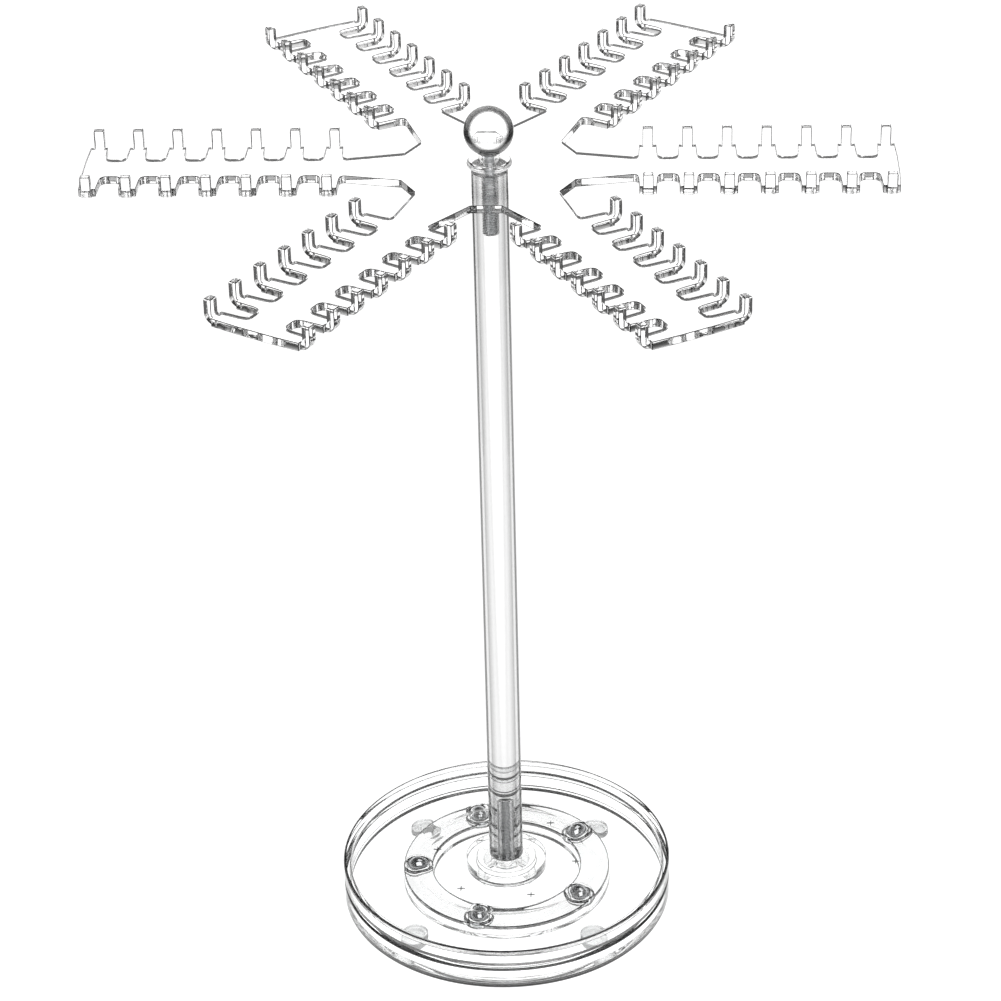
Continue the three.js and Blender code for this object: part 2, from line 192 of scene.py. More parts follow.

# Material slots of a piece with rounded edges; most pieces fill the edge slot with a material that paints
# dark shade
SURFACE_SLOT = 0
EDGE_SLOT = 1


# Modelling

def deselect_all():
    bpy.ops.object.select_all(action="DESELECT")


def choose(piece):
    """Makes one piece active, with nothing else selected."""
    deselect_all()
    bpy.context.view_layer.objects.active = piece
    piece.select_set(True)


def edit(piece):
    choose(piece)
    bpy.ops.object.mode_set(mode="EDIT")


def leave_edit():
    bpy.ops.object.mode_set(mode="OBJECT")


def named(name):
    piece = bpy.context.object
    piece.name = name
    piece.data.name = name
    return piece


def pick(kind, test):
    """Selects the vertices, edges or faces in edit mode whose middle and normal pass the test."""
    bpy.ops.mesh.select_mode(type=kind)
    bpy.ops.mesh.select_all(action="DESELECT")
    data = bpy.context.edit_object.data
    mesh = bmesh.from_edit_mesh(data)
    mesh.normal_update()
    if kind == "VERT":
        found = [v for v in mesh.verts if test(v.co, v.normal)]
    elif kind == "EDGE":
        found = [e for e in mesh.edges if test((e.verts[0].co + e.verts[1].co) / 2, e.verts[0].normal)]
    else:
        found = [f for f in mesh.faces if test(f.calc_center_median(), f.normal)]
    for item in found:
        item.select_set(True)
    mesh.select_flush_mode()
    bmesh.update_edit_mesh(data)


def pull(x, y, z):
    """Extrudes what is selected and moves it."""
    bpy.ops.mesh.extrude_region_move(TRANSFORM_OT_translate={"value": (x, y, z)})


def close_up():
    """Joins doubled vertices and turns all faces outwards."""
    bpy.ops.mesh.select_all(action="SELECT")
    bpy.ops.mesh.remove_doubles(threshold=MERGE)
    bpy.ops.mesh.normals_make_consistent(inside=False)


def arc(middle_radius, middle_height, radius, start, end, steps=ARC_STEPS):
    """Points of an arc in a profile, both ends included, angles in degrees."""
    angles = [math.radians(start + (end - start) * i / steps) for i in range(steps + 1)]
    return [(middle_radius + radius * math.cos(a), middle_height + radius * math.sin(a)) for a in angles]


def draw_profile(name, points):
    """A wire through (radius, height) points, pulled out of one vertex and left in edit mode."""
    deselect_all()
    bpy.ops.mesh.primitive_plane_add(size=MM)
    piece = named(name)
    bpy.ops.object.mode_set(mode="EDIT")
    bpy.ops.mesh.select_mode(type="VERT")
    bpy.ops.mesh.select_all(action="SELECT")
    bpy.ops.mesh.merge(type="CENTER")
    bpy.ops.transform.translate(value=(points[0][0], 0, points[0][1]))
    for (radius, height), (next_radius, next_height) in zip(points, points[1:]):
        pull(next_radius - radius, 0, next_height - height)
    return piece


def turn(name, points, steps=TURN_STEPS):
    """A turned solid. Its profile starts and ends on the axis, or comes back to its first point."""
    piece = draw_profile(name, points)
    bpy.ops.mesh.select_all(action="SELECT")
    bpy.ops.mesh.spin(steps=steps, angle=math.tau, center=(0, 0, 0), axis=(0, 0, 1))
    close_up()
    leave_edit()
    return piece


def turn_ring(name, points, steps=TURN_STEPS):
    return turn(name, [*points, points[0]], steps)


def apply_modifier(piece, modifier):
    choose(piece)
    bpy.ops.object.modifier_apply(modifier=modifier.name)


def cut(piece, tool, operation):
    """Joins the tool to a piece, or cuts the piece with it, and removes the tool."""
    boolean = piece.modifiers.new("cut", "BOOLEAN")
    boolean.operation = operation
    boolean.solver = "EXACT"
    boolean.object = tool
    apply_modifier(piece, boolean)
    bpy.data.objects.remove(tool)
    return piece


def round_edges(piece, width=EDGE_ROUND):
    """Rounds the sharp edges, gives them the edge slot, where most pieces paint dark shade, and keeps flat
    faces flat in the shading.
    """
    choose(piece)
    bpy.ops.object.shade_smooth()
    for _ in (SURFACE_SLOT, EDGE_SLOT):
        piece.data.materials.append(None)
    bevel = piece.modifiers.new("edges", "BEVEL")
    bevel.material = EDGE_SLOT
    bevel.width = width
    bevel.use_clamp_overlap = False
    bevel.segments = EDGE_SEGMENTS
    bevel.limit_method = "ANGLE"
    bevel.angle_limit = EDGE_ANGLE
    apply_modifier(piece, bevel)
    normals = piece.modifiers.new("flat_faces", "WEIGHTED_NORMAL")
    normals.keep_sharp = True
    apply_modifier(piece, normals)


def plain_edges(piece, inner, outer):
    """Gives the faces between two radii the surface slot again."""
    for face in piece.data.polygons:
        if inner < face.center.xy.length < outer:
            face.material_index = SURFACE_SLOT


def paint_shade_on_faces(piece, test):
    """Gives the faces whose middle and normal pass the test the edge slot too, so that its material paints
    shade on them.
    """
    for face in piece.data.polygons:
        if test(face.center, face.normal):
            face.material_index = EDGE_SLOT


def stands_upright(normal):
    return abs(normal.z) < UPRIGHT


def smooth(piece):
    choose(piece)
    bpy.ops.object.shade_smooth_by_angle(angle=SMOOTH_ANGLE)


def settle(piece):
    """Leaves the piece's place in its mesh, with the object at the origin."""
    choose(piece)
    bpy.ops.object.transform_apply(location=True, rotation=True, scale=True)


def copy_of(piece, name):
    """A copy with its own mesh, selected and active."""
    choose(piece)
    bpy.ops.object.duplicate()
    return named(name)


def join(pieces, name):
    deselect_all()
    for piece in pieces:
        piece.select_set(True)
    bpy.context.view_layer.objects.active = pieces[0]
    bpy.ops.object.join()
    return named(name)


def cylinder(name, radius, height, middle, steps):
    deselect_all()
    bpy.ops.mesh.primitive_cylinder_add(vertices=steps, radius=radius, depth=height, location=middle)
    tool = named(name)
    settle(tool)
    return tool


# Drum under the pole

def ball_groove(lip):
    """The profile of the groove under the balls, from its outer lip to its inner one."""
    half = math.degrees(math.acos(1 - GROOVE_DEPTH / GROOVE_RADIUS))
    height = lip + (GROOVE_RADIUS - GROOVE_DEPTH)
    return arc(BALL_CIRCLE, height, GROOVE_RADIUS, half - 90, -half - 90)


def make_base_dish():
    wall = DRUM_RADIUS - BASE_WALL
    recess = SPIGOT_RADIUS - SPIGOT_WALL
    hole = BUSH_HIGH.x + FIT_GAP
    race = FLOOR_TOP + RACE_HEIGHT
    spigot_under = SPIGOT_TOP - SPIGOT_TOP_THICKNESS
    dish = turn_ring("clear_base_dish", [
        (recess, FOOT_TOP),
        (wall, FOOT_TOP),
        (wall, BASE_BOTTOM),
        *arc(DRUM_RADIUS - HEEL_RADIUS, BASE_BOTTOM + HEEL_RADIUS, HEEL_RADIUS, -90, 0),
        *arc(DRUM_RADIUS - DRUM_EDGE, BASE_RIM - DRUM_EDGE, DRUM_EDGE, 0, 90),
        (wall, BASE_RIM),
        (wall, FLOOR_TOP),
        (RACE_OUTER, FLOOR_TOP),
        (RACE_OUTER, race),
        *ball_groove(race),
        (RACE_INNER, race),
        (RACE_INNER, FLOOR_TOP),
        (SPIGOT_RADIUS, FLOOR_TOP),
        (SPIGOT_RADIUS, SPIGOT_TOP),
        (hole, SPIGOT_TOP),
        (hole, spigot_under),
        (recess, spigot_under),
    ])
    round_edges(dish)
    plain_edges(dish, 0, wall - TINY)

    # painted dark shade on the rim, the heel and the inside of the skirt
    paint_shade_on_faces(dish, lambda middle, normal: (
        middle.xy.length > DRUM_RADIUS - DRUM_EDGE and normal.z > RIM_ROUND))
    paint_shade_on_faces(dish, lambda middle, normal: (
        middle.xy.length > wall and HEEL_LOW < normal.z < HEEL_HIGH))
    paint_shade_on_faces(dish, lambda middle, normal: (
        abs(middle.xy.length - wall) < EDGE_ROUND and middle.z < FOOT_TOP and stands_upright(normal)))
    return dish


def make_turntable_top():
    """A cap with a skirt. Its race is flat, because a clear groove bends the view of the balls."""
    wall = DRUM_RADIUS - TOP_WALL
    rim_line = DRUM_RADIUS - DRUM_EDGE - RIM_LINE
    boss_inner = SPIGOT_RADIUS + JOURNAL_GAP
    boss_outer = boss_inner + BOSS_WALL
    boss_line = BOSS_BOTTOM + BOSS_LINE
    race = UNDERSIDE - RACE_HEIGHT + GROOVE_DEPTH
    hole = SCREW_HIGH.x + FIT_GAP
    cap = turn_ring("clear_turntable", [
        (hole, TURNTABLE_TOP),
        (hole, UNDERSIDE),
        (boss_inner, UNDERSIDE),
        (boss_inner, boss_line),
        (boss_inner, BOSS_BOTTOM),
        (boss_outer, BOSS_BOTTOM),
        (boss_outer, boss_line),
        (boss_outer, UNDERSIDE),
        (RACE_INNER, UNDERSIDE),
        (RACE_INNER + RACE_DRAFT, race),
        (RACE_OUTER - RACE_DRAFT, race),
        (RACE_OUTER, UNDERSIDE),
        (wall, UNDERSIDE),
        (wall, SKIRT_BOTTOM),
        (DRUM_RADIUS, SKIRT_BOTTOM),
        *arc(DRUM_RADIUS - DRUM_EDGE, TURNTABLE_TOP - DRUM_EDGE, DRUM_EDGE, 0, 90),
        (rim_line, TURNTABLE_TOP),
    ])
    round_edges(cap)
    plain_edges(cap, boss_outer + EDGE_ROUND, wall - EDGE_ROUND)

    # painted dark shade on the rim and the boss's lower edge
    paint_shade_on_faces(cap, lambda middle, normal: middle.xy.length > rim_line and normal.z > RIM_TOP)
    paint_shade_on_faces(cap, lambda middle, normal: (
        middle.xy.length < boss_outer + TINY and middle.z < boss_line and stands_upright(normal)))
    return cap


def make_moulded_crosses():
    """Six small raised crosses on the turntable's underside."""
    bars = []
    for i in range(CROSS_COUNT):
        angle = math.radians(CROSS_FIRST_ANGLE + 360 * i / CROSS_COUNT)
        for turned in (0, math.pi / 2):
            deselect_all()
            bpy.ops.mesh.primitive_cube_add(size=1, rotation=(0, 0, turned), location=(
                CROSS_CIRCLE * math.cos(angle),
                CROSS_CIRCLE * math.sin(angle),
                UNDERSIDE - CROSS_GAP - CROSS_HEIGHT / 2,
            ))
            bar = named("cross_bar")
            bar.scale = (CROSS_LENGTH, CROSS_WIDTH, CROSS_HEIGHT)
            settle(bar)
            if turned:
                cut(bars[-1], bar, "UNION")
            else:
                bars.append(bar)
    crosses = join(bars, "moulded_crosses")
    settle(crosses)
    round_edges(crosses, CROSS_EDGE_ROUND)
    return crosses


def make_ball_cage():
    half = CAGE_THICKNESS / 2
    bore = BALL_RADIUS + POCKET_GAP
    cage = turn_ring("clear_ball_cage", [
        (RACE_INNER, CAGE_MIDDLE - half),
        (RACE_OUTER, CAGE_MIDDLE - half),
        (RACE_OUTER, CAGE_MIDDLE + half),
        (RACE_INNER, CAGE_MIDDLE + half),
    ])
    for middle in BALL_MIDDLES:
        cut(cage, cylinder("pocket", bore + POCKET_WALL, POCKET_HEIGHT, middle, POCKET_STEPS), "UNION")
    for middle in BALL_MIDDLES:
        cut(cage, cylinder("bore", bore, 2 * POCKET_HEIGHT, middle, POCKET_STEPS), "DIFFERENCE")
    round_edges(cage, CAGE_EDGE_ROUND)
    return cage


def make_balls():
    """Steel balls from a rounded cube, so that no ball has a pole where its mesh pinches."""
    deselect_all()
    bpy.ops.mesh.primitive_cube_add(size=2 * BALL_RADIUS)
    first = named("steel_ball_1")
    rounder = first.modifiers.new("rounder", "SUBSURF")
    rounder.levels = BALL_LEVELS
    rounder.render_levels = BALL_LEVELS
    apply_modifier(first, rounder)
    edit(first)
    bpy.ops.mesh.select_all(action="SELECT")
    bpy.ops.transform.tosphere(value=1)
    leave_edit()
    first.scale *= BALL_RADIUS / first.data.vertices[0].co.length
    settle(first)
    smooth(first)
    balls = [first]
    balls += [copy_of(first, f"steel_ball_{i + 1}") for i in range(1, BALL_COUNT)]
    for ball, middle in zip(balls, BALL_MIDDLES):
        ball.location = middle
        settle(ball)
    return balls


def make_feet():
    """Round pads with a soft edge and a slightly hollow underside."""
    radius = (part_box(FEET[0])[1].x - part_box(FEET[0])[0].x) / 2
    pads = []
    for i, node in enumerate(FEET):
        low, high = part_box(node)
        pad = turn(f"rubber_foot_{i + 1}", [
            (0, FOOT_DISH),
            (radius / 2, FOOT_DISH),
            *arc(radius - 2 * FOOT_EDGE, FOOT_EDGE, FOOT_EDGE, FOOT_LIP_ANGLE, -90),
            *arc(radius - FOOT_EDGE, FOOT_EDGE, FOOT_EDGE, -90, 0),
            (radius, FOOT_TOP),
            (0, FOOT_TOP),
        ], ROD_STEPS)
        round_edges(pad, FINE_EDGE_ROUND)
        pad.location = ((low.x + high.x) / 2, (low.y + high.y) / 2, 0)
        settle(pad)
        pads.append(pad)
    return pads


# Pivot and finial threads

def thread(name, radius, bottom, top):
    """A threaded rod of that crest radius, with flat chamfered ends."""
    rod = draw_profile(name, [
        (radius - below * THREAD_DEPTH, along * THREAD_PITCH) for below, along in THREAD_SHAPE
    ])
    leave_edit()
    helix = rod.modifiers.new("helix", "SCREW")
    helix.screw_offset = THREAD_PITCH
    helix.iterations = math.ceil((top - bottom) / THREAD_PITCH) + 2 * SPARE_TURNS
    helix.steps = THREAD_STEPS
    helix.render_steps = THREAD_STEPS
    apply_modifier(rod, helix)
    rod.location.z = bottom - (SPARE_TURNS + THREAD_SHIFT) * THREAD_PITCH
    settle(rod)
    edit(rod)
    close_up()
    for end, side in ((bottom, -1), (top, 1)):
        bpy.ops.mesh.select_all(action="SELECT")
        bpy.ops.mesh.bisect(
            plane_co=(0, 0, end),
            plane_no=(0, 0, side),
            use_fill=True,
            clear_outer=True,
            threshold=CUT_SNAP,
        )
    close_up()
    for end in (bottom, top):
        for step in range(LEAD_STEPS):
            near = step * LEAD_LENGTH / LEAD_STEPS
            far = near + LEAD_LENGTH / LEAD_STEPS
            narrowed = LEAD_WIDTH + (1 - LEAD_WIDTH) * step / LEAD_STEPS
            pick("VERT", lambda place, normal: near - TINY < abs(place.z - end) < far - TINY)
            bpy.ops.transform.resize(value=(narrowed, narrowed, 1), center_override=(0, 0, end))
    leave_edit()
    smooth(rod)
    return rod


def make_pivot_bush():
    bush = turn_ring("clear_pivot_bush", [
        (SCREW_HIGH.x + FIT_GAP, BUSH_LOW.z),
        (BUSH_HIGH.x, BUSH_LOW.z),
        (BUSH_HIGH.x, BUSH_HIGH.z),
        (SCREW_HIGH.x + FIT_GAP, BUSH_HIGH.z),
    ], ROD_STEPS)
    round_edges(bush)
    return bush


def make_pivot_washer():
    washer = turn_ring("clear_pivot_washer", [
        (BUSH_HIGH.x + FIT_GAP, WASHER_LOW.z),
        (WASHER_HIGH.x, WASHER_LOW.z),
        (WASHER_HIGH.x, WASHER_HIGH.z),
        (BUSH_HIGH.x + FIT_GAP, WASHER_HIGH.z),
    ], ROD_STEPS)
    round_edges(washer)
    return washer


# Pole and knob

def make_pole():
    """A clear rod, tapped at both ends for the screw and the stud."""
    bottom = POLE_LOW.z + AIR_FILM
    top = POLE_HIGH.z - AIR_FILM
    rod = turn("clear_pole", [
        (0, bottom),
        (POLE_RADIUS - POLE_EDGE, bottom),
        (POLE_RADIUS, bottom + POLE_EDGE),
        (POLE_RADIUS, top - POLE_EDGE),
        (POLE_RADIUS - POLE_EDGE, top),
        (0, top),
    ], ROD_STEPS)
    round_edges(rod)
    tap = SCREW_HIGH.x + THREAD_CLEARANCE
    lower_tap = thread("lower_tap", tap, bottom - TAP_OVERRUN, SCREW_HIGH.z + HOLE_SPARE_DEPTH)
    cut(rod, lower_tap, "DIFFERENCE")
    upper_tap = thread("upper_tap", tap, STUD_LOW.z - HOLE_SPARE_DEPTH, top + TAP_OVERRUN)
    cut(rod, upper_tap, "DIFFERENCE")
    smooth(rod)
    return rod


def make_finial_knob():
    bottom = KNOB_LOW.z + AIR_FILM
    middle = KNOB_HIGH.z - KNOB_RADIUS
    collar_round = COLLAR_HEIGHT / 2
    hole = STUD_HIGH.x + FIT_GAP
    hole_end = STUD_HIGH.z + HOLE_SPARE_DEPTH
    neck_angle = math.degrees(math.acos(KNOB_NECK_RADIUS / KNOB_RADIUS))
    ball = arc(0, middle, KNOB_RADIUS, -neck_angle, 90, BALL_STEPS)
    knob = turn("clear_finial_knob", [
        (0, hole_end),
        (hole, hole_end),
        (hole, bottom),
        *arc(COLLAR_RADIUS - collar_round, bottom + collar_round, collar_round, -90, 90, 2 * ARC_STEPS),
        (KNOB_NECK_RADIUS, bottom + COLLAR_HEIGHT),
        *ball[:-1],
        (0, KNOB_HIGH.z),
    ])
    round_edges(knob)
    ball_bottom = middle - KNOB_RADIUS * math.sin(math.radians(neck_angle))
    # the ball takes the edge slot: a painted dark ring round its rim and a painted lighter top
    paint_shade_on_faces(knob, lambda face_middle, normal: face_middle.z > ball_bottom)
    return knob


# Hook star

def make_arm():
    """One arm along X: a spine, seven tabs on each side and a peg turned up at the end of each tab."""
    spine = SPINE_WIDTH / 2
    root = TAB_ROOT_WIDTH / 2
    peg = PEG_WIDTH / 2
    half_step = math.pi / ARM_COUNT
    neck_along = HUB_FLAT_RADIUS * math.cos(half_step) + HUB_FLAT_LENGTH / 2 * math.sin(half_step)
    neck_across = HUB_FLAT_RADIUS * math.sin(half_step) - HUB_FLAT_LENGTH / 2 * math.cos(half_step)
    stations = [hook + offset for hook in HOOKS for offset in (-root, -peg, peg, root)]
    start, end = stations[0], stations[-1]

    def hook_offset(x):
        return min((x - hook for hook in HOOKS), key=abs)

    deselect_all()
    bpy.ops.mesh.primitive_plane_add(size=1)
    arm = named("arm")
    edit(arm)
    bpy.ops.mesh.select_all(action="SELECT")
    bpy.ops.transform.resize(value=(start - neck_along, SPINE_WIDTH, 1), center_override=(0, 0, 0))
    bpy.ops.transform.translate(value=((start + neck_along) / 2, 0, 0))
    pick("VERT", lambda place, normal: place.x < neck_along + TINY)
    bpy.ops.transform.resize(value=(1, neck_across / spine, 1), center_override=(neck_along, 0, 0))

    # spine
    pick("EDGE", lambda middle, normal: middle.x > start - TINY)
    for here, there in zip(stations, stations[1:]):
        pull(there - here, 0, 0)

    # tabs, a little narrower at their ends
    for side in (1, -1):
        pick("EDGE", lambda middle, normal: (
            abs(middle.y - side * spine) < TINY and start < middle.x and abs(hook_offset(middle.x)) < root))
        pull(0, side * (TAB_REACH - spine), 0)
    for hook in HOOKS:
        pick("VERT", lambda place, normal: (
            abs(place.y) > TAB_REACH - TINY and abs(abs(place.x - hook) - root) < TINY))
        bpy.ops.transform.resize(value=(TAB_TIP_WIDTH / TAB_ROOT_WIDTH, 1, 1), center_override=(hook, 0, 0))

    # round corners in the notches
    pick("VERT", lambda place, normal: (
        abs(abs(place.y) - spine) < TINY
        and place.x < end - TINY
        and abs(abs(hook_offset(place.x)) - root) < TINY))
    bpy.ops.mesh.bevel(offset=NOTCH_CORNER, offset_type="OFFSET", segments=ARC_STEPS, affect="VERTICES")

    # thickness, left open where the arm joins the hub
    bpy.ops.mesh.select_all(action="SELECT")
    pull(0, 0, PLATE_THICKNESS)
    bpy.ops.mesh.select_all(action="SELECT")
    bpy.ops.mesh.normals_make_consistent(inside=False)
    pick("FACE", lambda middle, normal: middle.x < neck_along + TINY)
    bpy.ops.mesh.delete(type="FACE")

    # pegs, spun up from the tabs' ends
    for side in (1, -1):
        pick("FACE", lambda middle, normal: (
            abs(middle.y - side * TAB_REACH) < TINY and abs(hook_offset(middle.x)) < TINY))
        bpy.ops.mesh.spin(
            steps=ARC_STEPS,
            angle=math.radians(-90 * side),
            center=(0, side * TAB_REACH, PLATE_THICKNESS + BEND_RADIUS),
            axis=(1, 0, 0),
        )
        pull(0, 0, PEG_HEIGHT - BEND_RADIUS)
    pick("FACE", lambda middle, normal: middle.z > PLATE_THICKNESS + PEG_HEIGHT - TINY)
    bpy.ops.mesh.bevel(offset=PEG_TOP_EDGE, offset_type="OFFSET", segments=PEG_TOP_SEGMENTS, affect="EDGES")
    leave_edit()
    return arm


def make_hub():
    """A hexagon with its corners cut to the arms' necks, left open there."""
    side_length = HUB_FLAT_RADIUS / math.cos(math.pi / ARM_COUNT)
    deselect_all()
    bpy.ops.mesh.primitive_circle_add(
        vertices=ARM_COUNT, radius=side_length, fill_type="NGON", rotation=(0, 0, math.pi / ARM_COUNT))
    hub = named("hub")
    settle(hub)
    edit(hub)
    bpy.ops.mesh.select_mode(type="VERT")
    bpy.ops.mesh.select_all(action="SELECT")
    bpy.ops.mesh.bevel(
        offset=(side_length - HUB_FLAT_LENGTH) / 2, offset_type="OFFSET", segments=1, affect="VERTICES")
    bpy.ops.mesh.select_all(action="SELECT")
    pull(0, 0, PLATE_THICKNESS)
    bpy.ops.mesh.select_all(action="SELECT")
    bpy.ops.mesh.normals_make_consistent(inside=False)

    def faces_an_arm(middle, normal):
        steps = math.atan2(middle.y, middle.x) / (math.tau / ARM_COUNT)
        return stands_upright(normal) and abs(steps - round(steps)) < NECK_SPREAD

    pick("FACE", faces_an_arm)
    bpy.ops.mesh.delete(type="FACE")
    leave_edit()
    return hub


def make_hook_star():
    arms = [make_arm()]
    for i in range(1, ARM_COUNT):
        arm = copy_of(arms[0], f"arm_{i + 1}")
        arm.rotation_euler.z = math.tau * i / ARM_COUNT
        settle(arm)
        arms.append(arm)
    star = join([make_hub(), *arms], "clear_hook_star")
    edit(star)
    close_up()
    leave_edit()
    star.location.z = STAR_LOW.z
    settle(star)
    hole_middle = Vector((0, 0, STAR_LOW.z + PLATE_THICKNESS / 2))
    hole_radius = STUD_HIGH.x + FIT_GAP
    hole = cylinder("stud_hole", hole_radius, 2 * PLATE_THICKNESS, hole_middle, POCKET_STEPS)
    cut(star, hole, "DIFFERENCE")
    round_edges(star, STAR_EDGE_ROUND)
    # painted dark shade on the slopes round the pegs' tops
    paint_shade_on_faces(star, lambda middle, normal: (
        middle.z > STAR_HIGH.z - PEG_TOP_EDGE and PEG_SLOPE_LOW < normal.z < PEG_SLOPE_HIGH))
    return star


# Shader nodes

WHITE = (1, 1, 1, 1)
EVEN = (1, 1, 1)


def feed(tree, socket, term):
    """Links another node's output to a socket, or sets a plain value on it."""
    if isinstance(term, bpy.types.NodeSocket):
        tree.links.new(term, socket)
    else:
        socket.default_value = term


def add(tree, kind, **terms):
    """A node with plain values or other nodes' outputs on its named inputs."""
    made = tree.nodes.new(kind)
    for name, term in terms.items():
        feed(tree, made.inputs[name.replace("_", " ")], term)
    return made


def reckon(tree, operation, *terms):
    """A Math node on plain numbers and the outputs of other nodes."""
    made = tree.nodes.new("ShaderNodeMath")
    made.operation = operation
    for socket, term in zip(made.inputs, terms):
        feed(tree, socket, term)
    return made.outputs["Value"]


def blend(tree, factor, one, other, kind="FLOAT"):
    """A Mix node between two numbers, or between two colours where the kind is RGBA."""
    made = tree.nodes.new("ShaderNodeMix")
    made.data_type = kind
    for name, term in (("Factor", factor), ("A", one), ("B", other)):
        feed(tree, made.inputs[name], term)
    return made.outputs["Result"]


def fade(tree, value, start, end):
    """Rises smoothly from 0 at the start to 1 at the end."""
    made = add(tree, "ShaderNodeMapRange", Value=value, From_Min=start, From_Max=end)
    made.interpolation_type = "SMOOTHSTEP"
    return made.outputs["Result"]


def split_axes(tree, vector):
    return add(tree, "ShaderNodeSeparateXYZ", Vector=vector).outputs


def show_blend(tree, output, factor, shader, other):
    """Puts out a mix of two shaders."""
    mixed = add(tree, "ShaderNodeMixShader", Fac=factor)
    feed(tree, mixed.inputs[1], shader.outputs["BSDF"])
    feed(tree, mixed.inputs[2], other.outputs["BSDF"])
    feed(tree, output.inputs["Surface"], mixed.outputs["Shader"])


# Shader node groups

HAIRLINE_STRETCH = (1, 14, 3)
HAIRLINE_TURN = (0.4, 0.3, 0.7)
HAIRLINE_EDGE = 0.58
HAIRLINE_CORE = 0.75
FINER = 6


def new_group(name, inputs, outputs):
    """A shader node group with named sockets: the group, what it is given and what it puts out."""
    group = bpy.data.node_groups.new(name, "ShaderNodeTree")
    for socket, kind in inputs.items():
        group.interface.new_socket(name=socket, in_out="INPUT", socket_type=kind)
    for socket, kind in outputs.items():
        group.interface.new_socket(name=socket, in_out="OUTPUT", socket_type=kind)
    return group, group.nodes.new("NodeGroupInput").outputs, group.nodes.new("NodeGroupOutput").inputs


def make_handling_marks():
    """Roughness that drifts between two values in clouds, with fine hairlines across it."""
    group, given, result = new_group(
        "handling_marks",
        {"Vector": "NodeSocketVector", "Least": "NodeSocketFloat", "Most": "NodeSocketFloat",
         "Scale": "NodeSocketFloat"},
        {"Roughness": "NodeSocketFloat"},
    )
    clouds = add(
        group, "ShaderNodeTexNoise", Vector=given["Vector"], Scale=given["Scale"], Detail=4, Roughness=0.55)
    drawn = add(
        group, "ShaderNodeMapping", Vector=given["Vector"], Scale=HAIRLINE_STRETCH, Rotation=HAIRLINE_TURN)
    hairlines = add(
        group, "ShaderNodeTexNoise", Vector=drawn.outputs["Vector"], Scale=given["Scale"], Detail=2,
        Roughness=0.4)
    sharp = add(
        group, "ShaderNodeMapRange", Value=hairlines.outputs["Fac"], From_Min=HAIRLINE_EDGE,
        From_Max=HAIRLINE_CORE)
    both = reckon(group, "MAXIMUM", clouds.outputs["Fac"], sharp.outputs["Result"])
    spread = add(group, "ShaderNodeMapRange", Value=both, To_Min=given["Least"], To_Max=given["Most"])
    feed(group, result["Roughness"], spread.outputs["Result"])
    return group


def make_surface_ripple():
    """A slow swell with a finer one on it, for the waviness of moulded, drawn and cut surfaces."""
    group, given, result = new_group(
        "surface_ripple",
        {"Vector": "NodeSocketVector", "Scale": "NodeSocketFloat", "Fine": "NodeSocketFloat"},
        {"Height": "NodeSocketFloat"},
    )
    slow = add(
        group, "ShaderNodeTexNoise", Vector=given["Vector"], Scale=given["Scale"], Detail=1, Roughness=0.4)
    faster = reckon(group, "MULTIPLY", given["Scale"], FINER)
    fine = add(group, "ShaderNodeTexNoise", Vector=given["Vector"], Scale=faster, Detail=2, Roughness=0.5)
    feed(group, result["Height"], blend(group, given["Fine"], slow.outputs["Fac"], fine.outputs["Fac"]))
    return group


HANDLING_MARKS = make_handling_marks()
SURFACE_RIPPLE = make_surface_ripple()


# Materials

ACRYLIC_IOR = 1.49
LIGHT_THROUGH = (0.975, 0.98, 0.98, 1)
MARKS_SCALE = 60
STEEL_DULL = 0.9
STEEL_FINE = 0.5


def new_material(name):
    """A material with its Principled shader, output and Object coordinates."""
    material = bpy.data.materials.new(name)
    material.use_nodes = True
    tree = material.node_tree
    tree.nodes.clear()
    output = tree.nodes.new("ShaderNodeOutputMaterial")
    shader = tree.nodes.new("ShaderNodeBsdfPrincipled")
    tree.links.new(shader.outputs["BSDF"], output.inputs["Surface"])
    coordinates = tree.nodes.new("ShaderNodeTexCoord")
    return material, tree, shader, output, coordinates.outputs["Object"]


def place_group(tree, group, **terms):
    made = tree.nodes.new("ShaderNodeGroup")
    made.node_tree = group
    for name, term in terms.items():
        feed(tree, made.inputs[name], term)
    return made.outputs


def add_marks(tree, shader, vector, least, most, scale):
    marks = place_group(tree, HANDLING_MARKS, Vector=vector, Least=least, Most=most, Scale=scale)
    feed(tree, shader.inputs["Roughness"], marks["Roughness"])


def add_ripple(tree, shader, vector, stretch, scale, fine, depth):
    """Bump of that depth in metres, with the pattern stretched along some axes."""
    mapping = add(tree, "ShaderNodeMapping", Vector=vector, Scale=stretch)
    ripple = place_group(tree, SURFACE_RIPPLE, Vector=mapping.outputs["Vector"], Scale=scale, Fine=fine)
    bump = add(tree, "ShaderNodeBump", Height=ripple["Height"], Strength=1, Distance=depth)
    feed(tree, shader.inputs["Normal"], bump.outputs["Normal"])


